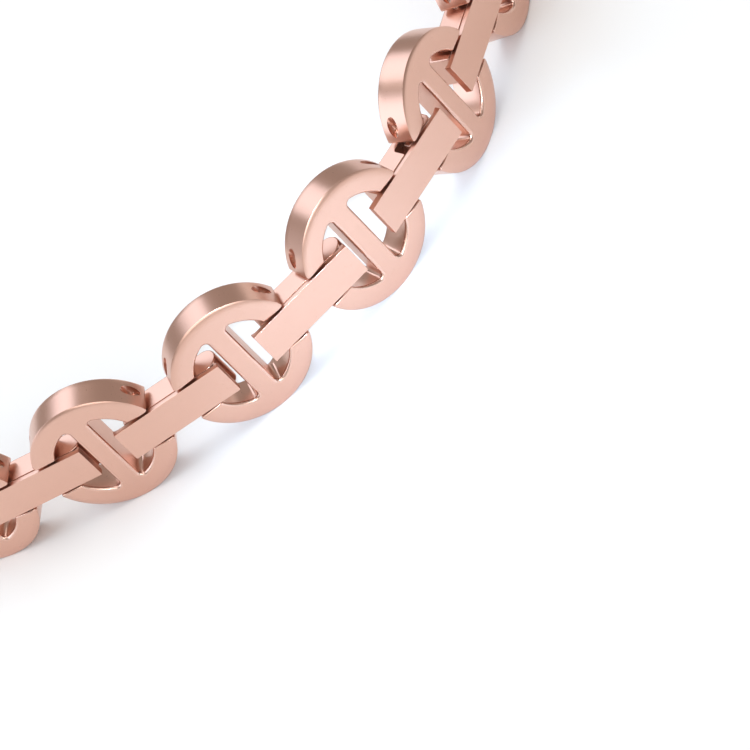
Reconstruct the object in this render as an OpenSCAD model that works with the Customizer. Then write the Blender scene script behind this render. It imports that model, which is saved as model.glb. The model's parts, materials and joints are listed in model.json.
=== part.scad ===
// Link watch bracelet: ring links with a crossbar, joined by bar links on pins,
// with a hook clasp hidden under one bar and an end link at each watch lug.
// The chain lies curved in the XY plane. Z runs across the bracelet, along every pin.
// Each link is drawn flat first: X along the chain, Y across it, Z out of its face,
// with its zero height on the pin axes, and is then stood up in its place.

/* [Ring links] */
// Outside diameter of a ring link
ring_d = 16; // [15.5:0.1:16.5]
// Thickness of a ring link from its crest to its back
ring_t = 3.8; // [3.7:0.05:4]
// Width of the ring's band between its rim and the windows
band_w = 2.65; // [2.6:0.05:2.8]
// Radius of the window corners beside the crossbar
window_corner_r = 0.5; // [0.3:0.1:0.7]
// Width of the crossbar through the middle of the ring
crossbar_w = 2.5; // [2.2:0.1:2.5]
// Depth of the crossbar behind the crest
crossbar_t = 3.05; // [2.8:0.05:3.3]
// Gap between a bar's plate and each side of the end slot that takes it
slot_gap = 0.25; // [0.2:0.05:0.35]
// Fall of the ring's face at its outer edge
face_drop = 0.28; // [0.1:0.02:0.4]
// Width of the rounded band inside the outer edge
face_round_w = 1.1; // [0.8:0.1:1.4]
// Bevel of the ring's back edge
back_bevel = 0.15; // [0.1:0.05:0.25]

/* [Pins] */
// Diameter of the pins that carry the bars
pin_d = 0.9; // [0.8:0.05:1]
// Distance of a pin's axis inside the ring's rim
pin_edge = 1.35; // [1.3:0.05:1.4]
// Depth of the pin axes behind the crest
pin_depth = 2.35; // [2.3:0.05:2.4]
// Width of the recess round a pin's head
recess_gap = 0.2; // [0.15:0.05:0.25]
// Depth of the recess where its rim is nearest to the ring's centre
recess_depth = 0.12; // [0.1:0.02:0.2]
// Height of a pin's head above the floor of its recess
head_stand = 0.12; // [0.06:0.02:0.16]
// Steel left between a pin's blind end and the ring's side wall
foot_wall = 0.25; // [0.2:0.05:0.4]
// Radial clearance of a bar, clasp or end link on its pin
pin_clearance = 0.05; // [0.03:0.01:0.08]

/* [Bar links] */
// Gap between the rims of neighbouring rings when the chain is straight
ring_gap = 2.15; // [2.1:0.05:2.4]
// Gap from a plate's square end to the crossbar
near_gap = 1.175; // [1.1:0.025:1.4]
// Gap from a plate's round end to the crossbar
far_gap = 0.475; // [0.45:0.025:0.7]
// Width of a bar's top plate
plate_w = 4.4; // [4.2:0.05:4.4]
// Thickness of a bar's top plate
plate_t = 0.85; // [0.7:0.05:0.95]
// Inset of the block's sides from the plate's edges
block_inset = 0.1; // [0.05:0.05:0.2]
// Overhang of the plate past the block's square end
block_setback = 1.4; // [1:0.1:1.8]

/* [Clasp] */
// Gap from the flap's short end to the crossbar
nose_gap = 0.825; // [0.8:0.025:0.95]
// Length of the flap past its hinge
flap_nose = 1.9; // [1.8:0.05:1.95]
// Height of the flap's hinge above the pin axes
flap_hinge_z = 0.6; // [0.55:0.05:0.6]
// Diameter of the flap's hinge pin
flap_pin_d = 0.8; // [0.7:0.05:0.8]
// Thickness of the flap's closing tab
tab_t = 0.8; // [0.6:0.05:0.9]
// Depth of the closing tab below the flap
tab_h = 2.6; // [2.2:0.1:2.7]
// Distance of the closing tab beyond the pin that carries the hook body
tab_out = 1.6; // [1.5:0.1:1.8]
// Gap between the closed flap and the hook body
flap_gap = 0.055; // [0.05:0.005:0.08]
// Slack of the closing tab over the body's end face
tab_slack = 0.08; // [0.07:0.01:0.15]
// Distance that a hooked pin slides back before it can lift out
hook_travel = 1.2; // [1.1:0.05:1.3]
// Width of the flap's hinge lug
lug_w = 1.6; // [1.4:0.1:1.8]
// Side clearance of the hinge lug in its slot
lug_clearance = 0.05; // [0.04:0.01:0.1]
// Reach of the lug's slot behind the hinge
lug_slot_l = 1.2; // [1.1:0.05:1.4]
// Radius of the hook body's lower edge
foot_r = 0.4; // [0.2:0.1:0.5]

/* [End links] */
// Inset of the barrel's ends from the ring's rim, for play between a watch's lugs
barrel_inset = 0.1; // [0.05:0.05:1]
// Diameter of the barrel
barrel_d = 3.4; // [3.2:0.1:3.6]
// Diameter of the spring bar's bore
spring_bore_d = 1.6; // [1.5:0.05:1.8]
// Gap between the barrel and the ring's rim
end_gap = 1.85; // [1.8:0.05:2.3]
// Thickness of the tongue taken off between its eye and the barrel
neck_step = 0.5; // [0.3:0.1:0.8]

/* [Chain] */
// Inward bend at both end links' hinges, in degrees
end_bend_angle = 8; // [0:1:12]
// Inward bend at each hinge beyond the sixth ring, in degrees
far_bend_angle = 9; // [4:1:12]

/* [Hidden] */
$fn = 96;
// Overlap of a cut past the face it opens
cut = 0.2;
rose_gold = [0.86, 0.64, 0.57];
pin_gold = [0.72, 0.47, 0.4];

ring_r = ring_d / 2;
window_r = ring_r - band_w;
pin_r = pin_d / 2;
seat_r = pin_r + pin_clearance;
pin_out = ring_r - pin_edge;
slot_w = plate_w + 2 * slot_gap;
// Heights above the pin axes
crest_z = pin_depth;
back_z = pin_depth - ring_t;
plate_z = crest_z - plate_t;
block_w = plate_w - 2 * block_inset;
block_h = plate_z - back_z;
// A bar or clasp has its pins at half_pitch, and crossbars begin at crossbar_x
bar_pitch = ring_gap + 2 * pin_edge;
half_pitch = bar_pitch / 2;
crossbar_x = half_pitch + pin_out - crossbar_w / 2;
plate_x0 = near_gap - crossbar_x;
plate_x1 = crossbar_x - far_gap;

// A pin's head lies where the recess is still a whole circle in the curved wall
recess_r = pin_r + recess_gap;
head_y = sqrt(ring_r * ring_r - pow(pin_out + recess_r, 2)) - recess_depth;
pin_foot_y = sqrt(ring_r * ring_r - pow(pin_out + pin_r, 2)) - foot_wall;

// The chain from one watch lug to the other. Elements 0 and 16 are the end links,
// odd ones are rings, even ones between them are bars, and the middle one is the clasp.
element_count = 17;
clasp_element = (element_count - 1) / 2;
end_reach = end_gap + barrel_d / 2 + pin_edge;
// Degrees that the chain turns inward at each hinge, and the way that it sets out
bends = [end_bend_angle, 8, 2, 9, 7.5, 10.5, 10, 8.5, 16, 4.5, 9,
    far_bend_angle, far_bend_angle, far_bend_angle, far_bend_angle, end_bend_angle];
start_heading = -48;

function is_end(i) = i == 0 || i == element_count - 1;
function span(i) = is_end(i) ? end_reach : i % 2 == 1 ? 2 * pin_out : bar_pitch;
function heading(i) = i == 0 ? start_heading : heading(i - 1) + bends[i - 1];
// Point where element i begins: the first spring bar's bore is the origin
function start_of(i) = i == 0 ? [0, 0] :
    start_of(i - 1) + span(i - 1) * [cos(heading(i - 1)), sin(heading(i - 1))];
function middle_of(i) = start_of(i) + span(i) / 2 * [cos(heading(i)), sin(heading(i))];

// Stands a flat link up in the chain, centred on element i
module in_chain(i) {
    translate(middle_of(i))
        rotate([0, 0, heading(i)])
            rotate([90, 0, 0])
                children();
}

// A cylinder across the chain through x and z, from y0 to y1
module crosswise(x, z, r, y0, y1) {
    translate([x, y1, z])
        rotate([90, 0, 0])
            cylinder(r = r, h = y1 - y0);
}

// Extrudes a side outline, drawn in X and Z, over the width w
module side_extrude(w) {
    translate([0, w / 2, 0])
        rotate([90, 0, 0])
            linear_extrude(w)
                children();
}

// A window's outline on one side of the crossbar: a D with rounded corners
module window_outline() {
    corner_x = crossbar_w / 2 + window_corner_r;
    corner_y = sqrt(pow(window_r - window_corner_r, 2) - corner_x * corner_x);
    reach = ring_d;
    intersection() {
        circle(r = window_r);
        polygon([[crossbar_w / 2, -corner_y / corner_x * crossbar_w / 2],
            [reach, -corner_y / corner_x * reach],
            [reach, corner_y / corner_x * reach],
            [crossbar_w / 2, corner_y / corner_x * crossbar_w / 2]]);
    }
    translate([crossbar_w / 2, -corner_y])
        square([window_corner_r, 2 * corner_y]);
    for (side = [-1, 1])
        translate([corner_x, side * corner_y])
            circle(r = window_corner_r);
}

// The turned blank of a ring, with its rounded face edge and bevelled back
module ring_blank() {
    rotate_extrude()
        polygon([[0, back_z],
            [ring_r - back_bevel, back_z],
            [ring_r, back_z + back_bevel],
            [ring_r, crest_z - face_drop],
            [ring_r - 0.1 * face_round_w, crest_z - 0.55 * face_drop],
            [ring_r - 0.4 * face_round_w, crest_z - 0.15 * face_drop],
            [ring_r - face_round_w, crest_z],
            [0, crest_z]]);
}

module ring_body() {
    difference() {
        ring_blank();
        for (side = [0, 180])
            rotate([0, 0, side])
                translate([0, 0, back_z - cut])
                    linear_extrude(ring_t + 2 * cut)
                        window_outline();
        translate([0, 0, back_z - cut])
            cylinder(r = window_r, h = ring_t - crossbar_t + cut);
        for (side = [0, 180])
            rotate([0, 0, side])
                translate([window_r / 2, -slot_w / 2, back_z - cut])
                    cube([ring_r, slot_w, ring_t + 2 * cut]);
        for (side = [-1, 1]) {
            crosswise(side * pin_out, 0, pin_r, -pin_foot_y, head_y + cut);
            crosswise(side * pin_out, 0, recess_r, head_y, ring_r);
        }
    }
}

module ring(k) {
    color(rose_gold)
        in_chain(2 * k - 1)
            ring_body();
}

// The two pins of a ring, pressed into its legs
module ring_pins(k) {
    color(pin_gold)
        in_chain(2 * k - 1)
            for (side = [-1, 1])
                crosswise(side * pin_out, 0, pin_r, -pin_foot_y, head_y + head_stand);
}

// Element number of bar k, which skips the clasp's place
function bar_element(k) = 2 * k < clasp_element ? 2 * k : 2 * k + 2;

module bar_plate(k) {
    color(rose_gold)
        in_chain(bar_element(k))
            translate([plate_x0, -plate_w / 2, plate_z])
                cube([plate_x1 - plate_x0, plate_w, plate_t]);
}

// The block under a plate: square at its near end and round at its far end
module bar_block(k) {
    nose_r = block_h / 2;
    color(rose_gold)
        in_chain(bar_element(k))
            difference() {
                side_extrude(block_w)
                    union() {
                        translate([plate_x0 + block_setback, back_z])
                            square([plate_x1 - nose_r - plate_x0 - block_setback, block_h]);
                        translate([plate_x1 - nose_r, back_z + nose_r])
                            circle(r = nose_r);
                    }
                for (side = [-1, 1])
                    crosswise(side * half_pitch, 0, seat_r, -plate_w, plate_w);
            }
}

// Hook clasp, in the place of a bar: its body turns on one ring's pin and hooks
// the next ring's pin, and the flap closes over the mouth of the hook.
body_top_z = plate_z - flap_gap;
hinge_eye_r = body_top_z - flap_hinge_z;
flap_x1 = crossbar_x - nose_gap;
flap_hinge_x = flap_x1 - flap_nose;
tab_x = -half_pitch - tab_out;
body_end_x = tab_x + tab_slack;

module hook_outline() {
    difference() {
        union() {
            translate([body_end_x, back_z + foot_r])
                square([flap_hinge_x - body_end_x, body_top_z - back_z - foot_r]);
            translate([body_end_x + foot_r, back_z])
                square([flap_hinge_x - body_end_x, body_top_z - back_z]);
            translate([body_end_x + foot_r, back_z + foot_r])
                circle(r = foot_r);
            translate([flap_hinge_x, back_z + foot_r])
                square([hinge_eye_r, flap_hinge_z - back_z - foot_r]);
        }
        translate([flap_hinge_x, flap_hinge_z])
            square([2 * hinge_eye_r, 2 * hinge_eye_r]);
    }
    translate([flap_hinge_x, flap_hinge_z])
        circle(r = hinge_eye_r);
}

// The hook's mouth: down from the top, then along to the seat under the beak
module hook_mouth() {
    mouth_x = half_pitch - hook_travel;
    translate([mouth_x - seat_r, 0])
        square([2 * seat_r, body_top_z + cut]);
    translate([mouth_x, 0])
        circle(r = seat_r);
    translate([mouth_x, -seat_r])
        square([hook_travel, 2 * seat_r]);
}

module hook_body() {
    color(rose_gold)
        in_chain(clasp_element)
            difference() {
                side_extrude(block_w)
                    hook_outline();
                side_extrude(2 * plate_w)
                    hook_mouth();
                crosswise(half_pitch, 0, seat_r, -plate_w, plate_w);
                crosswise(-half_pitch, 0, seat_r, -plate_w, plate_w);
                crosswise(flap_hinge_x, flap_hinge_z, flap_pin_d / 2, -plate_w, plate_w);
                translate([flap_hinge_x - lug_slot_l, -lug_w / 2 - lug_clearance, back_z - cut])
                    cube([4 * hinge_eye_r, lug_w + 2 * lug_clearance, ring_t + 2 * cut]);
            }
}

module clasp_flap() {
    eye_r = hinge_eye_r - lug_clearance;
    color(rose_gold)
        in_chain(clasp_element)
            difference() {
                union() {
                    translate([plate_x0, -plate_w / 2, plate_z])
                        cube([flap_x1 - plate_x0, plate_w, plate_t]);
                    translate([tab_x - tab_t, -plate_w / 2, plate_z - tab_h])
                        cube([tab_t, plate_w, tab_h + plate_t / 2]);
                    crosswise(flap_hinge_x, flap_hinge_z, eye_r, -lug_w / 2, lug_w / 2);
                    translate([flap_hinge_x - eye_r, -lug_w / 2, flap_hinge_z])
                        cube([2 * eye_r, lug_w, plate_z + plate_t / 2 - flap_hinge_z]);
                }
                crosswise(flap_hinge_x, flap_hinge_z, flap_pin_d / 2 + pin_clearance,
                    -plate_w, plate_w);
            }
}

module flap_pin() {
    color(pin_gold)
        in_chain(clasp_element)
            crosswise(flap_hinge_x, flap_hinge_z, flap_pin_d / 2, -block_w / 2, block_w / 2);
}

// End link: a tongue on the outer pin of the last ring, and a barrel across it
// whose bore takes the spring bar of a watch. End 1 points back along the chain.
module end_link_body() {
    barrel_l = ring_d - 2 * barrel_inset;
    eye_r = block_h / 2;
    neck_h = 2 * eye_r - neck_step;
    difference() {
        union() {
            crosswise(end_reach / 2, 0, eye_r, -block_w / 2, block_w / 2);
            translate([-end_reach / 2, -block_w / 2, -neck_h / 2])
                cube([end_reach, block_w, neck_h]);
            crosswise(-end_reach / 2, 0, barrel_d / 2, -barrel_l / 2, barrel_l / 2);
        }
        crosswise(end_reach / 2, 0, seat_r, -plate_w, plate_w);
        crosswise(-end_reach / 2, 0, spring_bore_d / 2, -barrel_l, barrel_l);
    }
}

module end_link(k) {
    color(rose_gold)
        in_chain(k == 1 ? 0 : element_count - 1)
            rotate([0, 0, k == 1 ? 0 : 180])
                end_link_body();
}

for (k = [1:8])
    ring(k);
for (k = [1:8])
    ring_pins(k);
for (k = [1:6])
    bar_plate(k);
for (k = [1:6])
    bar_block(k);
hook_body();
clasp_flap();
flap_pin();
for (k = [1:2])
    end_link(k);
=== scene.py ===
import json
import math

import bmesh
import bpy
from mathutils import Matrix, Vector
from mathutils.geometry import delaunay_2d_cdt


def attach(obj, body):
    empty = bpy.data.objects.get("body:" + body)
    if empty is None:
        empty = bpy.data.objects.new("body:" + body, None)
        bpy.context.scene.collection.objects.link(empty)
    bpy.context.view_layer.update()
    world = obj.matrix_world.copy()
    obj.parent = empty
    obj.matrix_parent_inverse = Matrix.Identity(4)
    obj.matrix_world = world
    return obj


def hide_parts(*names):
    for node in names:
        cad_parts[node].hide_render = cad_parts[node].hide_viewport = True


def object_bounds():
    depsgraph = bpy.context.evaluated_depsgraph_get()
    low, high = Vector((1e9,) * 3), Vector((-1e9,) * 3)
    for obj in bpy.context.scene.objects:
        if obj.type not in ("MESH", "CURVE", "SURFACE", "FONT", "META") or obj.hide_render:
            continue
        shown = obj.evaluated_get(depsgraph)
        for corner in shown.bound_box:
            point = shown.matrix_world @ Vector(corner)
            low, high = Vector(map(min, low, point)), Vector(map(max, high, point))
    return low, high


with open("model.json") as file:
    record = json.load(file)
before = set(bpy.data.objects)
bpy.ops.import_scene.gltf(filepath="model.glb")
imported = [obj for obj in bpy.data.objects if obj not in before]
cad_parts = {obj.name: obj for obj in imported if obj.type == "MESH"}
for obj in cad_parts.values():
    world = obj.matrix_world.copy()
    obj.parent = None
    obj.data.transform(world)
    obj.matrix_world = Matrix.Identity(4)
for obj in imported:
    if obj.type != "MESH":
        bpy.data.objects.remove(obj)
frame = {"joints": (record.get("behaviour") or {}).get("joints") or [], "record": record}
cad_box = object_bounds()

# Camera. A long lens looks down on the standing chain from in front. It is rolled so
# that the chain climbs from the picture's lower left to its upper right.
eye = Vector((0.01832, -0.52559, 0.38031))
picture_right = Vector((0.68113, -0.47962, -0.55321)).normalized()
roughly_up = Vector((0.73061, 0.39584, 0.55635))
picture_back = picture_right.cross(roughly_up).normalized()
picture_up = picture_back.cross(picture_right)

lens = bpy.data.cameras.new("lens")
lens.lens = 279.3
lens.sensor_width = 36
lens.clip_start = 0.01
lens.clip_end = 10
camera = bpy.data.objects.new("camera", lens)
camera.matrix_world = (
    Matrix.Translation(eye)
    @ Matrix((picture_right, picture_up, picture_back)).transposed().to_4x4()
)
bpy.context.scene.collection.objects.link(camera)
bpy.context.scene.camera = camera
bpy.context.scene.view_settings.view_transform = "Standard"

# Table top and studio light. The bracelet stands on its rings' rims on a white table.
# Softboxes hang overhead, at the left, behind, behind the camera and low at the right,
# and a soft lamp in line with the camera lights the table that the chain's faces mirror.
table_height = cad_box[0].z
table_reach = 3.0
table_mesh = bpy.data.meshes.new("table_top")
table_mesh.from_pydata(
    [
        (x * table_reach, y * table_reach, table_height)
        for x, y in ((-1, -1), (1, -1), (1, 1), (-1, 1))
    ],
    [],
    [(0, 1, 2, 3)],
)
table_top = bpy.data.objects.new("table_top", table_mesh)
bpy.context.scene.collection.objects.link(table_top)

table_paint = bpy.data.materials.new("table_paint")
table_paint.use_nodes = True
table_shader = table_paint.node_tree.nodes["Principled BSDF"]
table_shader.inputs["Base Color"].default_value = (0.9, 0.9, 0.9, 1)
table_shader.inputs["Roughness"].default_value = 0.8
table_shader.inputs["Specular IOR Level"].default_value = 0.1
table_mesh.materials.append(table_paint)

studio_aim = Vector((0.055, -0.01, 0.0))


def studio_spot(azimuth, elevation, distance):
    """A place round the bracelet: azimuth 0 is away from the camera, 90 to its right."""
    a, e = math.radians(azimuth), math.radians(elevation)
    return studio_aim + distance * Vector(
        (math.sin(a) * math.cos(e), math.cos(a) * math.cos(e), math.sin(e))
    )


def hang(name, lamp, place, aim):
    """Hangs a lamp at a place and turns it to its aim."""
    holder = bpy.data.objects.new(name, lamp)
    holder.location = place
    holder.rotation_mode = "QUATERNION"
    holder.rotation_quaternion = (aim - place).to_track_quat("-Z", "Y")
    bpy.context.scene.collection.objects.link(holder)


near_white = (0.96, 1.0, 1.01)
cool_white = (0.85, 1.0, 1.19)
for name, azimuth, elevation, distance, width, height, brightness, colour in (
    ("overhead_softbox", 0, 88, 0.9, 0.95, 0.8, 1.76, near_white),
    ("left_softbox", -76, 24, 1.0, 0.9, 0.8, 1.7, cool_white),
    ("back_softbox", -6, 46, 1.0, 0.6, 0.6, 1.53, cool_white),
    ("front_softbox", -166, 29, 1.2, 1.3, 0.8, 1.8, near_white),
    ("right_softbox", 53, 7, 1.2, 0.45, 0.25, 0.8, near_white),
):
    softbox = bpy.data.lights.new(name, "AREA")
    softbox.shape = "RECTANGLE"
    softbox.size = width
    softbox.size_y = height
    softbox.color = colour
    softbox.energy = brightness * math.pi * width * height
    hang(name, softbox, studio_spot(azimuth, elevation, distance), studio_aim)

pool_lamp = bpy.data.lights.new("table_lamp", "SPOT")
pool_lamp.color = (0.7, 1.0, 1.3)
pool_lamp.energy = 23
pool_lamp.spot_size = math.radians(5.4)
pool_lamp.spot_blend = 1
pool_lamp.shadow_soft_size = 0.025
pool_lamp_distance = 0.5
pool_middle = Vector((0.054, -0.048, table_height))
pool_lamp_place = pool_middle + pool_lamp_distance * (eye - pool_middle).normalized()
hang("table_lamp", pool_lamp, pool_lamp_place, pool_middle)

studio = bpy.data.worlds.new("studio")
studio.use_nodes = True
studio_fill = studio.node_tree.nodes["Background"]
studio_fill.inputs["Color"].default_value = (0.415, 0.385, 0.36, 1)
studio_fill.inputs["Strength"].default_value = 1
bpy.context.scene.world = studio

# Ring links. Eight steel rings, each milled from a turned blank, with two windows beside
# a crossbar and a slot at both ends that takes the next link. The face falls softly to
# the rim, every cut edge is broken, and the ring is blasted satin and plated rose gold.
millimetre = 0.001  # the links' sizes are in millimetres, each in its own link's frame
ring_radius = 8.0
ring_front = 2.35
ring_back = -1.45
window_radius = 5.35
window_corner = 0.5
crossbar_half = 1.25
crossbar_back = -0.7
crossbar_steps = 4
slot_half = 2.45
slot_corner = 0.3
dome_width = 1.2
dome_fall = 0.28
dome_roll = math.radians(66)
dome_rows = 8
window_edge = 0.42
mouth_edge = 0.28
crossbar_edge = 0.38
slot_edge = 0.16
rim_back_edge = 0.15
hidden_edge = 0.08
flare_sweep = 36
pin_reach = 6.65
recess_radius = 0.65
recess_floor = 3.153

rounding_rows = 4
holding_reach = 1.3
# Narrower edges get no paler edge mark, which is real rubbing and a painted highlight.
least_rubbed_and_highlit_edge = 0.05
least_facing = 0.5
corner_angle = math.radians(40)
same_spot = 1e-6
same_spot_digits = 4
triangles_inside = 1
triangle_nearness = 1e-5

# The hinges in their order along the chain. The clasp lies between the middle two.
hinge_order = (
    ["end_link_1_hinge"]
    + [f"{kind}_{k}_hinge" for k in (1, 2, 3) for kind in ("ring", "bar")]
    + ["ring_4_hinge", "ring_5_hinge"]
    + [f"{kind}_hinge" for k in (4, 5, 6) for kind in (f"bar_{k}", f"ring_{k + 2}")]
    + ["end_link_2_hinge"]
)
hinge_spots = {joint["name"]: Vector(joint["pos_m"]) for joint in frame["joints"]}
chain_pins = [hinge_spots[name] for name in hinge_order]


def link_place(first_pin, second_pin):
    """Where a link lies between two pins: X along the chain, Y across, Z outward."""
    along = (second_pin - first_pin).normalized()
    across = Vector((0, 0, 1))
    outward = along.cross(across)
    turn = Matrix((along, across, outward)).transposed().to_4x4()
    return Matrix.Translation((first_pin + second_pin) / 2) @ turn


def arc_points(centre_x, centre_y, radius, start, end, step):
    """Points along an arc, both ends included, with angles in degrees."""
    count = max(2, round(abs(end - start) / step))
    turns = [math.radians(start + (end - start) * i / count) for i in range(count + 1)]
    return [
        (centre_x + radius * math.cos(a), centre_y + radius * math.sin(a)) for a in turns
    ]


def graded(points, *edge_pairs):
    """Adds edge radii to a run of points, each going evenly from one value to another."""
    last = len(points) - 1
    return [
        (x, y) + tuple(a + (b - a) * i / last for a, b in edge_pairs)
        for i, (x, y) in enumerate(points)
    ]


def joined(*runs):
    """Runs of points one after another, without the doubled points where they meet."""
    line = []
    for run in runs:
        for point in run:
            if not line or math.dist(point[:2], line[-1][:2]) > same_spot:
                line.append(point)
    return line


def closed(*runs):
    """Runs of points joined up into an outline, whose last point leads to its first."""
    line = joined(*runs)
    if math.dist(line[0][:2], line[-1][:2]) < same_spot:
        line.pop()
    return line


def flipped_x(run):
    """A run mirrored end to end, and reversed so that an outline goes on through it."""
    return [(-p[0], p[1]) + p[2:] for p in reversed(run)]


def flipped_y(run):
    """A run mirrored side to side, and reversed in the same way."""
    return [(p[0], -p[1]) + p[2:] for p in reversed(run)]


def half_turned(run):
    """A run turned half way round the link's middle."""
    return [(-p[0], -p[1]) + p[2:] for p in run]


def four_ways(quarter):
    """A quarter's run of points, in all four quarters and in order round the outline."""
    other = flipped_y(quarter)
    return quarter, other, half_turned(quarter), half_turned(other)


def way_in(outline, i):
    """The way in from an outline's corner, long enough to keep the edge's width."""
    (ax, ay), (bx, by), (cx, cy) = (
        outline[j][:2] for j in (i - 1, i, (i + 1) % len(outline))
    )
    before = Vector((ay - by, bx - ax)).normalized()
    after = Vector((by - cy, cx - bx)).normalized()
    middle = (before + after).normalized()
    return middle / max(least_facing, middle.dot(after))


def holds(outline, spot):
    """Whether a spot lies inside an outline."""
    inside = False
    for (ax, ay), (bx, by) in zip(
        (p[:2] for p in outline), (p[:2] for p in outline[1:] + outline[:1])
    ):
        if (ay > spot.y) != (by > spot.y):
            if spot.x < ax + (spot.y - ay) * (bx - ax) / (by - ay):
                inside = not inside
    return inside


class Blank:
    """A solid under way: corners at one spot are one corner, so its faces close up."""

    def __init__(self):
        self.mesh = bmesh.new()
        # The layer marks rounded edges for a paler colour: partly real rubbing, partly a
        # painted highlight.
        self.wear_and_highlight_mark = self.mesh.verts.layers.float.new("edge_wear_and_highlight")
        self.corners = {}

    def corner(self, x, y, z, wear_and_highlight=0.0):
        """The corner at a spot, made when it is first asked for."""
        key = tuple(round(place, same_spot_digits) for place in (x, y, z))
        if key not in self.corners:
            vert = self.mesh.verts.new((x, y, z))
            vert[self.wear_and_highlight_mark] = wear_and_highlight
            self.corners[key] = vert
        return self.corners[key]

    def face(self, corners):
        """A face between corners, left out where it would be doubled or have no width."""
        loop = [c for i, c in enumerate(corners) if c is not corners[i - 1]]
        if len(set(loop)) == len(loop) > 2 and not self.mesh.faces.get(loop):
            self.mesh.faces.new(loop)

    def soft_face(self, outline, height, facing, inner_points=(), wear_and_highlight_mark=1.0):
        """Fills an outline of (x, y, edge radius), rounded down to the walls along it.

        One more row of points lies just inside the rounding and holds the face flat.
        """
        count = len(outline)
        insets = [way_in(outline, i) for i in range(count)]
        spots, falls, wear_and_highlight_marks, ties = [], [], [], []
        for k in range(rounding_rows + 2):
            angle = math.radians(90 * min(1, k / rounding_rows))
            inset = 1 - math.cos(angle) if k <= rounding_rows else holding_reach
            first = len(spots)
            for (x, y, edge), (nx, ny) in zip(outline, insets):
                reach = edge * inset
                spots.append(Vector((x + nx * reach, y + ny * reach)))
                falls.append(edge * (1 - math.sin(angle)))
                # Middle rows of the rounding get the paler edge mark: real rubbing and a
                # painted highlight.
                rubbed_and_highlit = 0 < k < rounding_rows and edge > least_rubbed_and_highlit_edge
                wear_and_highlight_marks.append(wear_and_highlight_mark if rubbed_and_highlit else 0.0)
            line = [first + i for i in range(count)]
            ties += zip(line, line[1:] + line[:1])
        for x, y in inner_points:
            spots.append(Vector((x, y)))
            falls.append(0.0)
            wear_and_highlight_marks.append(0.0)
        kept, _, cells, sources, _, _ = delaunay_2d_cdt(
            spots, ties, [list(range(count))], triangles_inside, triangle_nearness, True
        )
        corners = []
        for spot, source in zip(kept, sources):
            fall, wear_and_highlight = (falls[min(source)], wear_and_highlight_marks[min(source)]) if source else (0.0, 0.0)
            z = height(spot.x, spot.y) - facing * fall
            corners.append(self.corner(spot.x, spot.y, z, wear_and_highlight))
        for cell in cells:
            middle = sum((kept[i] for i in cell), Vector((0, 0))) / len(cell)
            if holds(outline, middle):
                self.face([corners[i] for i in cell])

    def wall(self, line, heights_at):
        """A wall along a run of points, with its heights at each, from top to bottom."""
        posts = [[self.corner(*p[:2], z) for z in heights_at(p)] for p in line]
        for left, right in zip(posts, posts[1:]):
            for upper in range(len(left) - 1):
                self.face([left[upper], right[upper], right[upper + 1], left[upper + 1]])

    def turned(self, profile, x, z, sides=40):
        """A turned shape on an axis across the bracelet, from (radius, place, mark for
        rubbing and painted highlight).
        """
        turns = [2 * math.pi * k / sides for k in range(sides)]
        rounds = [
            [self.corner(x + r * math.cos(a), y, z + r * math.sin(a), wear_and_highlight) for a in turns]
            for r, y, wear_and_highlight in profile
        ]
        for lower, upper in zip(rounds, rounds[1:]):
            for k in range(sides):
                self.face([lower[k - 1], lower[k], upper[k], upper[k - 1]])

    def as_mesh(self, name):
        """The solid as a mesh, with all its faces turned outward."""
        bmesh.ops.recalc_face_normals(self.mesh, faces=self.mesh.faces)
        mesh = bpy.data.meshes.new(name)
        self.mesh.to_mesh(mesh)
        self.mesh.free()
        return mesh


def plain_rod(radius, foot, head):
    """A drill's or cutter's profile, for Blank.turned."""
    return [(0, foot, 0), (radius, foot, 0), (radius, head, 0), (0, head, 0)]


def combined(mesh, other_mesh, way):
    """One mesh of two solids: the other cut out of the first, or made one with it."""
    work = bpy.data.objects.new("work", mesh)
    other = bpy.data.objects.new("other", other_mesh)
    for thing in (work, other):
        bpy.context.scene.collection.objects.link(thing)
    joint = work.modifiers.new("joint", "BOOLEAN")
    joint.operation = way
    joint.solver = "EXACT"
    joint.object = other
    bpy.context.view_layer.update()
    done = bpy.data.meshes.new_from_object(
        work.evaluated_get(bpy.context.evaluated_depsgraph_get())
    )
    done.name = mesh.name
    for thing in (work, other):
        bpy.data.objects.remove(thing)
    return done


def polished(mesh, material):
    """The mesh in metres, smooth but for its true corners, in its material."""
    mesh.transform(Matrix.Scale(millimetre, 4))
    mesh.shade_smooth()
    mesh.set_sharp_from_angle(angle=corner_angle)
    mesh.materials.clear()
    mesh.materials.append(material)
    return mesh


def set_in_chain(name, mesh, place, body, node):
    """Sets a piece in its place in the chain, on its body and in its node's stead."""
    piece = bpy.data.objects.new(name, mesh)
    piece.matrix_world = place
    bpy.context.scene.collection.objects.link(piece)
    flatness = piece.modifiers.new("flatness", "WEIGHTED_NORMAL")
    flatness.keep_sharp = True
    flatness.weight = 100
    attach(piece, body)
    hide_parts(node)


def face_height(x, y):
    """The ring's face: flat inside, then rolling off to a crisp corner at the rim."""
    out = min(1.0, max(0.0, (math.hypot(x, y) - ring_radius + dome_width) / dome_width))
    rolled_off = 1 - math.sqrt(1 - (out * math.sin(dome_roll)) ** 2)
    return ring_front - dome_fall * rolled_off / (1 - math.cos(dome_roll))


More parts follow.
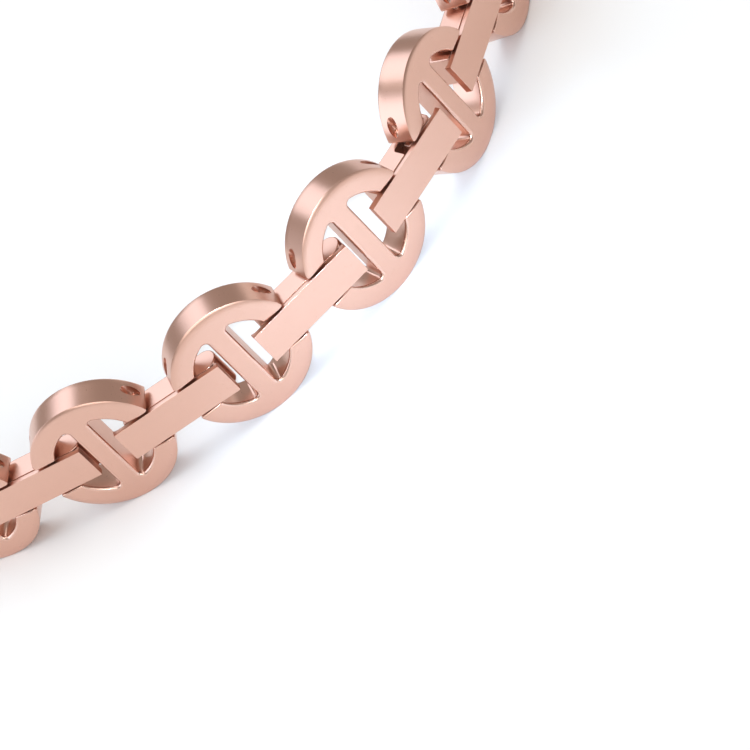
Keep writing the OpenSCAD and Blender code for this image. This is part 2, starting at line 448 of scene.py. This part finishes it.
def ring_link_mesh():
    """The ring with its windows, crossbar, slots and recesses, from a quarter's outline."""
    # Where the runs of the quarter's outline begin and end
    corner_y = slot_half + slot_corner
    rim_x = math.sqrt((ring_radius - slot_corner) ** 2 - corner_y**2)
    rim_turn = 180 - math.degrees(math.atan2(corner_y, rim_x))
    mouth_x = math.sqrt((window_radius + slot_corner) ** 2 - corner_y**2)
    mouth_turn = 180 - math.degrees(math.atan2(corner_y, mouth_x))
    fillet_x = crossbar_half + window_corner
    fillet_y = math.sqrt((window_radius - window_corner) ** 2 - fillet_x**2)
    fillet_turn = 180 - math.degrees(math.atan2(fillet_y, fillet_x))
    flare_turn = fillet_turn - flare_sweep

    # The rounds of points that carry the face's fall, and where they meet the slot
    dome_radii = [
        ring_radius - dome_width * (1 - math.sin(turn) / math.sin(dome_roll))
        for turn in (dome_roll * k / dome_rows for k in range(dome_rows))
    ]
    wall_xs = [math.sqrt(r * r - (slot_half + slot_edge) ** 2) for r in dome_radii]
    wall_xs = [x for x in reversed(wall_xs) if mouth_x < x < rim_x]

    # The runs, as points of (x, y, front edge, back edge, crossbar's back edge)
    sharp, hidden = (0, 0), (hidden_edge, hidden_edge)
    rim = graded(
        arc_points(0, 0, ring_radius, 90, rim_turn, step=2.5),
        sharp,
        (rim_back_edge, rim_back_edge),
        sharp,
    )
    rim_end = graded(
        arc_points(-rim_x, corner_y, slot_corner, rim_turn, 270, step=18),
        (0, slot_edge),
        (rim_back_edge, hidden_edge),
        sharp,
    )
    slot_wall = [(-x, slot_half, slot_edge, hidden_edge, 0) for x in wall_xs]
    mouth = graded(
        arc_points(-mouth_x, corner_y, slot_corner, 270, 180 + mouth_turn, step=18),
        (slot_edge, mouth_edge),
        hidden,
        sharp,
    )
    window = graded(
        arc_points(0, 0, window_radius, mouth_turn, fillet_turn, step=3),
        (mouth_edge, window_edge),
        hidden,
        sharp,
    )
    behind = graded(
        arc_points(0, 0, window_radius, fillet_turn, 90, step=3), sharp, hidden, sharp
    )
    flare = graded(
        arc_points(-fillet_x, fillet_y, window_corner, fillet_turn, flare_turn, step=9),
        (window_edge, crossbar_edge),
        sharp,
        sharp,
    )
    fillet = graded(
        arc_points(-fillet_x, fillet_y, window_corner, flare_turn, 0, step=9),
        (crossbar_edge, crossbar_edge),
        sharp,
        (0, hidden_edge),
    )
    side = [
        (-crossbar_half, fillet_y * (1 - k / crossbar_steps), crossbar_edge, 0, hidden_edge)
        for k in range(crossbar_steps + 1)
    ]
    through = joined(rim, rim_end, slot_wall, mouth, window)
    beside = joined(flare, fillet, side)

    dome = []
    for x, y, *_ in joined(rim, flipped_x(rim)):
        for radius in dome_radii:
            spot_x, spot_y = x * radius / ring_radius, y * radius / ring_radius
            if spot_y > slot_half + 2 * slot_edge:
                dome += [(spot_x, spot_y), (spot_x, -spot_y)]

    ring = Blank()
    face_line = closed(*four_ways(joined(through, beside)))
    ring.soft_face([p[:3] for p in face_line], face_height, 1, dome)
    back_half = joined(through, behind)
    back_line = [(p[0], p[1], p[3]) for p in closed(back_half, flipped_x(back_half))]
    for line in (back_line, half_turned(back_line)):
        ring.soft_face(line, lambda x, y: ring_back, -1)
    under_line = closed(*four_ways(joined(behind[::-1], beside)))
    ring.soft_face([(p[0], p[1], p[4]) for p in under_line], lambda x, y: crossbar_back, -1)

    for run in four_ways(through):
        ring.wall(
            run,
            lambda p: (face_height(p[0], p[1]) - p[2], crossbar_back, ring_back + p[3]),
        )
    for run in four_ways(beside):
        ring.wall(run, lambda p: (face_height(p[0], p[1]) - p[2], crossbar_back + p[4]))
    for run in four_ways(behind):
        ring.wall(run, lambda p: (crossbar_back, ring_back + p[3]))

    recesses = Blank()
    for x in (-pin_reach, pin_reach):
        recesses.turned(plain_rod(recess_radius, recess_floor, ring_radius), x, 0)
    return combined(ring.as_mesh("ring_link"), recesses.as_mesh("recesses"), "DIFFERENCE")


def plated_metal(name, colour, shade, roughness, grain_size, grain_height, edge_roughness):
    """Plated metal: a satin grain, slow changes of tone, and edges paler from rubbing and a
    painted highlight.

    The grain's size and height are in metres, as the finished meshes are.
    """
    clouds_per_metre = 260
    roughness_play = 0.012
    # The paler edge colour is partly real rubbing and partly a painted highlight.
    paling = 0.15
    rubbed_and_highlight_colour = [(1 - paling) * c + paling * math.sqrt(c) for c in colour]

    metal = bpy.data.materials.new(name)
    metal.use_nodes = True
    tree = metal.node_tree
    wire = tree.links.new
    shader = tree.nodes["Principled BSDF"]
    shader.inputs["Metallic"].default_value = 1
    spot = tree.nodes.new("ShaderNodeTexCoord")

    clouds = tree.nodes.new("ShaderNodeTexNoise")
    clouds.inputs["Scale"].default_value = clouds_per_metre
    clouds.inputs["Detail"].default_value = 3
    wire(spot.outputs["Object"], clouds.inputs["Vector"])
    grain = tree.nodes.new("ShaderNodeTexNoise")
    grain.inputs["Scale"].default_value = 1 / grain_size
    grain.inputs["Detail"].default_value = 1
    wire(spot.outputs["Object"], grain.inputs["Vector"])
    # The meshes' edge mark mixes in the paler colour and lower roughness: real rubbing and
    # a painted highlight.
    wear_and_highlight = tree.nodes.new("ShaderNodeAttribute")
    wear_and_highlight.attribute_name = "edge_wear_and_highlight"

    tone = tree.nodes.new("ShaderNodeMix")
    tone.data_type = "RGBA"
    tone.inputs["A"].default_value = (*shade, 1)
    tone.inputs["B"].default_value = (*colour, 1)
    wire(clouds.outputs["Fac"], tone.inputs["Factor"])
    rubbed_and_highlit = tree.nodes.new("ShaderNodeMix")
    rubbed_and_highlit.data_type = "RGBA"
    rubbed_and_highlit.inputs["B"].default_value = (*rubbed_and_highlight_colour, 1)
    wire(wear_and_highlight.outputs["Fac"], rubbed_and_highlit.inputs["Factor"])
    wire(tone.outputs["Result"], rubbed_and_highlit.inputs["A"])
    wire(rubbed_and_highlit.outputs["Result"], shader.inputs["Base Color"])

    satin = tree.nodes.new("ShaderNodeMapRange")
    satin.inputs["To Min"].default_value = roughness - roughness_play
    satin.inputs["To Max"].default_value = roughness + roughness_play
    wire(grain.outputs["Fac"], satin.inputs["Value"])
    smoothed = tree.nodes.new("ShaderNodeMix")
    smoothed.inputs["B"].default_value = edge_roughness
    wire(wear_and_highlight.outputs["Fac"], smoothed.inputs["Factor"])
    wire(satin.outputs["Result"], smoothed.inputs["A"])
    wire(smoothed.outputs["Result"], shader.inputs["Roughness"])

    blast = tree.nodes.new("ShaderNodeBump")
    blast.inputs["Strength"].default_value = 1
    blast.inputs["Distance"].default_value = grain_height
    wire(grain.outputs["Fac"], blast.inputs["Height"])
    wire(blast.outputs["Normal"], shader.inputs["Normal"])
    return metal


satin_rose_gold = plated_metal(
    "satin_rose_gold",
    colour=(0.73, 0.447, 0.354),
    shade=(0.71, 0.432, 0.339),
    roughness=0.28,
    grain_size=0.00015,
    grain_height=7e-7,
    edge_roughness=0.25,
)
ring_link = polished(ring_link_mesh(), satin_rose_gold)
ring_places = [link_place(*chain_pins[k : k + 2]) for k in range(0, 16, 2)]
for k, place in enumerate(ring_places, 1):
    body = f"ring_link_{k}"
    set_in_chain(f"ring_link_{k}", ring_link, place, body, f"ring_{k}")

# Bar blocks. Six solid steel blocks that join the rings, with the clasp in the seventh
# place. Each is rounded at one end, so that the chain can bend, and drilled across for
# the pins of the rings beside it.
block_start = -5.25
block_top = 1.5
block_half = 2.1
block_corner = 0.14
block_edge = 0.14
seam_edge = 0.02
nose_end = 7.35
nose_radius = (block_top - ring_back) / 2
nose_seam_turn = 60
half_pitch = 2.425
bore_radius = 0.5
drill_reach = 9


def with_edges(points, *edges):
    """Adds the same edge radii to every point of a run."""
    return [p + edges for p in points]


def rounded(x, y, radius, start, step=22.5):
    """An outline's corner at (x, y), rounded over the quarter turn from a start angle."""
    side_x, side_y = {0: (1, 1), 90: (-1, 1), 180: (-1, -1), 270: (1, -1)}[start % 360]
    centre = (x - side_x * radius, y - side_y * radius)
    return arc_points(*centre, radius, start, start + 90, step)


def cut_across(outline, half_width, bores=()):
    """A piece cut to an outline in X and Z, over a width across, with bores through."""
    body = Blank()
    body.soft_face(outline, lambda x, y: half_width, 1)
    body.soft_face(outline, lambda x, y: -half_width, -1)
    body.wall(outline + outline[:1], lambda p: (half_width - p[2], p[2] - half_width))
    mesh = body.as_mesh("cut_piece")
    mesh.transform(Matrix.Rotation(math.radians(90), 4, "X"))
    if bores:
        drills = Blank()
        for x, z, radius in bores:
            drills.turned(plain_rod(radius, -drill_reach, drill_reach), x, z)
        mesh = combined(mesh, drills.as_mesh("drills"), "DIFFERENCE")
    return mesh


nose = (nose_end - nose_radius, ring_back + nose_radius, nose_radius)
block_line = closed(
    with_edges(arc_points(*nose, -90, nose_seam_turn, step=5), block_edge),
    graded(arc_points(*nose, nose_seam_turn, 90, step=5), (block_edge, seam_edge)),
    graded(rounded(block_start, block_top, block_corner, 90), (seam_edge, block_edge)),
    with_edges(rounded(block_start, ring_back, block_corner, 180), block_edge),
)
block_mesh = cut_across(
    block_line, block_half, [(-half_pitch, 0, bore_radius), (half_pitch, 0, bore_radius)]
)
block_mesh.name = "bar_block"
bar_block = polished(block_mesh, satin_rose_gold)
between_rings = [link_place(*chain_pins[k : k + 2]) for k in range(1, 15, 2)]
clasp_place = between_rings[3]
bar_places = between_rings[:3] + between_rings[4:]
for k, place in enumerate(bar_places, 1):
    body = f"bar_link_{k}"
    name = f"bar_body_{k}"
    set_in_chain(name, bar_block, place, body, f"bar_block_{k}")

# Bar plates. Flat plates of rolled steel strip, cut to length and soldered on the blocks.
# They lie level with the rings' faces, and their edges are broken with a fine bevel.
plate_start = -6.65
plate_end = nose_end
plate_half = 2.2
plate_corner = 0.1
plate_edge = 0.04
strip_back_edge = 0.36


def strip_outline(x0, x1, half, corner, *edges):
    """A strip's outline from its face: corners just broken, long sides with their edges."""
    at_corners = tuple(min(edge, corner) for edge in edges)
    run_in = 6 * corner
    return closed(
        with_edges(rounded(x1, half, corner, 0), *at_corners),
        with_edges([(x1 - run_in, half), (x0 + run_in, half)], *edges),
        with_edges(rounded(x0, half, corner, 90), *at_corners),
        with_edges(rounded(x0, -half, corner, 180), *at_corners),
        with_edges([(x0 + run_in, -half), (x1 - run_in, -half)], *edges),
        with_edges(rounded(x1, -half, corner, 270), *at_corners),
    )


plate_line = strip_outline(
    plate_start, plate_end, plate_half, plate_corner, plate_edge, strip_back_edge
)
plate_back_line = [(x, y, back_edge) for x, y, _, back_edge in plate_line]
plate = Blank()
plate.soft_face([p[:3] for p in plate_line], lambda x, y: ring_front, 1)
plate.soft_face(plate_back_line, lambda x, y: block_top, -1, wear_and_highlight_mark=0.0)
plate.wall(plate_line + plate_line[:1], lambda p: (ring_front - p[2], block_top + p[3]))
bar_plate = polished(plate.as_mesh("bar_plate"), satin_rose_gold)
for k, place in enumerate(bar_places, 1):
    body = f"bar_link_{k}"
    name = f"bar_top_plate_{k}"
    set_in_chain(name, bar_plate, place, body, f"bar_plate_{k}")

# Clasp hook. A milled steel body in the place of one bar. It turns on one ring's pin, and
# the next ring's pin drops into its mouth and slides along to the seat under the beak.
hook_top = 1.445
hook_end = -3.945
hook_foot = 0.4
hook_corner = 0.12
hook_edge = 0.12
hinge_x = 5.1
hinge_height = 0.6
hinge_eye = 0.845
flap_pin_radius = 0.4
mouth_near = 0.725
mouth_far = 1.725
mouth_lip = 0.15
hook_mouth_edge = 0.06
lug_slot_start = 3.9
lug_slot_end = hinge_x + 3
lug_slot_half = 0.85
lug_slot_corner = 0.05
lug_cutter_half = 4

beak_end = hinge_x + hinge_eye
hook_line = closed(
    with_edges([(beak_end, ring_back + hook_foot)], hook_edge),
    graded(
        arc_points(hinge_x, hinge_height, hinge_eye, 0, 90, step=7.5),
        (hook_edge, seam_edge),
    ),
    with_edges(
        rounded(mouth_far, hook_top, mouth_lip, 90)
        + [(mouth_far, bore_radius)]
        + arc_points(half_pitch, 0, bore_radius, 90, -90, step=10)
        + arc_points(mouth_near + bore_radius, 0, bore_radius, 270, 180, step=10)
        + rounded(mouth_near, hook_top, mouth_lip, 0),
        hook_mouth_edge,
    ),
    graded(rounded(hook_end, hook_top, hook_corner, 90), (seam_edge, hook_edge)),
    with_edges(
        rounded(hook_end, ring_back, hook_foot, 180, step=11.25)
        + rounded(beak_end, ring_back, hook_foot, 270, step=11.25),
        hook_edge,
    ),
)
hook_mesh = cut_across(
    hook_line,
    block_half,
    [(-half_pitch, 0, bore_radius), (hinge_x, hinge_height, flap_pin_radius)],
)
lug_slot = strip_outline(lug_slot_start, lug_slot_end, lug_slot_half, lug_slot_corner, 0)
lug_cutter = Blank()
lug_cutter.soft_face(lug_slot, lambda x, y: lug_cutter_half, 1)
lug_cutter.soft_face(lug_slot, lambda x, y: -lug_cutter_half, -1)
lug_cutter.wall(lug_slot + lug_slot[:1], lambda p: (lug_cutter_half, -lug_cutter_half))
hook_mesh = combined(hook_mesh, lug_cutter.as_mesh("lug_cutter"), "DIFFERENCE")
hook_mesh.name = "clasp_hook"
clasp_hook = polished(hook_mesh, satin_rose_gold)
set_in_chain("clasp_hook", clasp_hook, clasp_place, "clasp", "hook_body")

# Clasp flap. A steel plate like a bar's, with a tab folded down behind the hook's end and
# a lug that turns on a small pin at the beak. Shut, it keeps the hooked pin in its seat.
flap_end = 7.0
tab_far = -4.825
tab_near = -4.025
tab_foot = -1.1
tab_bend = 0.15
tab_heel = 0.25
bevel_start = tab_near + 0.6
bevel_end = flap_end - 0.7
lug_radius = 0.795
lug_half = 0.8
lug_root = block_top + 0.3
lug_edge = 0.06
lug_play = 0.05

flap_line = closed(
    with_edges(
        rounded(flap_end, block_top, plate_corner, -90)
        + rounded(flap_end, ring_front, plate_corner, 0)
        + rounded(plate_start, ring_front, plate_corner, 90)
        + rounded(plate_start, block_top, plate_corner, 180)
        + arc_points(tab_far - tab_bend, block_top - tab_bend, tab_bend, 90, 0, step=22.5)
        + rounded(tab_far, tab_foot, tab_heel, 180)
        + rounded(tab_near, tab_foot, plate_corner, 270)
        + [(tab_near, block_top)],
        plate_edge,
    ),
    with_edges([(bevel_start, block_top), (bevel_end, block_top)], strip_back_edge),
)
lug_line = closed(
    with_edges(
        arc_points(hinge_x, hinge_height, lug_radius, 180, 360, step=7.5)
        + [(hinge_x + lug_radius, lug_root), (hinge_x - lug_radius, lug_root)],
        lug_edge,
    )
)
lug_bore = (hinge_x, hinge_height, flap_pin_radius + lug_play)
flap_mesh = combined(
    cut_across(flap_line, plate_half), cut_across(lug_line, lug_half, [lug_bore]), "UNION"
)
flap_mesh.name = "clasp_flap_plate"
clasp_flap = polished(flap_mesh, satin_rose_gold)
set_in_chain(
    "clasp_flap_plate", clasp_flap, clasp_place, "flap", "clasp_flap"
)

# Clasp flap's pin. A short turned pin of plated steel, a little greyer than the links.
# It passes through the flap's lug and is riveted flush in the hook's two cheeks.
flap_pin_break = 0.06
flap_pin_dome = 0.03
crown_shares = (0.8, 0.6, 0.4, 0.2, 0)
# The crown's share of the paler edge colour: real rubbing and a painted highlight.
crown_wear_and_highlight = 0.3
rounding_turns = [math.radians(90 * k / rounding_rows) for k in range(rounding_rows + 1)]

turned_rose_gold = plated_metal(
    "turned_rose_gold",
    colour=(0.62, 0.52, 0.47),
    shade=(0.58, 0.48, 0.43),
    roughness=0.3,
    grain_size=0.0001,
    grain_height=5e-7,
    edge_roughness=0.22,
)


def pin_profile(radius, foot, head, edge, dome):
    """A turned pin's outline, with its ends broken and its head slightly domed."""
    flat = radius - edge
    # The head's rounding and crown carry the paler edge mark, partly real rubbing and
    # partly a painted highlight.
    head_rounds = [
        (radius - edge * (1 - math.cos(a)), head - dome - edge * (1 - math.sin(a)), 1)
        for a in rounding_turns
    ]
    crown = [
        (flat * share, head - dome * share * share, crown_wear_and_highlight) for share in crown_shares
    ]
    return [(0, foot, 0), (flat, foot, 0), (radius, foot + edge, 0)] + head_rounds + crown


flap_pin_outline = pin_profile(
    flap_pin_radius, -block_half, block_half, flap_pin_break, flap_pin_dome
)
flap_pin = Blank()
flap_pin.turned(flap_pin_outline, hinge_x, hinge_height)
clasp_flap_pin = polished(flap_pin.as_mesh("clasp_flap_pin"), turned_rose_gold)
set_in_chain(
    "clasp_flap_pin", clasp_flap_pin, clasp_place, "clasp", "flap_pin"
)

# End links. A turned steel barrel across each end of the bracelet, bored for a watch's
# spring bar and brazed to a tongue. The tongue's eye turns on the last ring's pin.
end_reach = 4.9
tongue_half = 1.225
tongue_root_from_barrel = 1.0
tongue_root_edge = 0.02
barrel_radius = 1.7
barrel_half = 7.9
barrel_edge = 0.2
barrel_sides = 64
spring_bore = 0.8
spring_bore_break = 0.1

eye_x = end_reach / 2
tongue_root = tongue_root_from_barrel - eye_x
neck_turn = math.degrees(math.asin(tongue_half / nose_radius))
tongue_line = closed(
    with_edges(
        arc_points(eye_x, 0, nose_radius, neck_turn - 180, 180 - neck_turn, step=5),
        block_edge,
    ),
    with_edges([(tongue_root, tongue_half), (tongue_root, -tongue_half)], tongue_root_edge),
)
# The barrel's rounded ends and bore breaks carry the paler edge mark: real rubbing and a
# painted highlight.
half_barrel = [
    (spring_bore, barrel_half - spring_bore_break, 0),
    (spring_bore + spring_bore_break, barrel_half, 1),
] + [
    (
        barrel_radius - barrel_edge * (1 - math.sin(a)),
        barrel_half - barrel_edge * (1 - math.cos(a)),
        1,
    )
    for a in rounding_turns
]
other_half_barrel = [(r, -y, wear_and_highlight) for r, y, wear_and_highlight in reversed(half_barrel)]
barrel = Blank()
barrel.turned(half_barrel + other_half_barrel + half_barrel[:1], -eye_x, 0, barrel_sides)
end_mesh = combined(
    barrel.as_mesh("barrel"),
    cut_across(tongue_line, block_half, [(eye_x, 0, bore_radius)]),
    "UNION",
)
end_mesh.name = "end_link"
end_link = polished(end_mesh, satin_rose_gold)
bore_spots = [Vector(mount["pos_m"]) for mount in frame["record"]["mounts"]]
end_pins = (chain_pins[0], chain_pins[-1])
for k, (bore_spot, end_pin) in enumerate(zip(bore_spots, end_pins), 1):
    place = link_place(bore_spot, end_pin)
    name = f"end_piece_{k}"
    set_in_chain(name, end_link, place, f"end_{k}", f"end_link_{k}")

# Ring pins. Two plain turned steel pins in each ring, pressed in from one side through
# the links in its slots. Their polished, slightly domed heads stand in the recesses of
# the side wall, and their feet end blind. Their rounded heads are painted paler, partly
# as real rubbing and partly as a painted highlight.
pin_radius = 0.45
pin_foot = -3.436
pin_head = 3.273
pin_break = 0.07
pin_dome = 0.04

pin_outline = pin_profile(pin_radius, pin_foot, pin_head, pin_break, pin_dome)
pins = Blank()
for x in (-pin_reach, pin_reach):
    pins.turned(pin_outline, x, 0)
ring_pins = polished(pins.as_mesh("ring_pins"), turned_rose_gold)
for k, place in enumerate(ring_places, 1):
    body = f"ring_link_{k}"
    name = f"ring_pin_pair_{k}"
    set_in_chain(name, ring_pins, place, body, f"ring_pins_{k}")
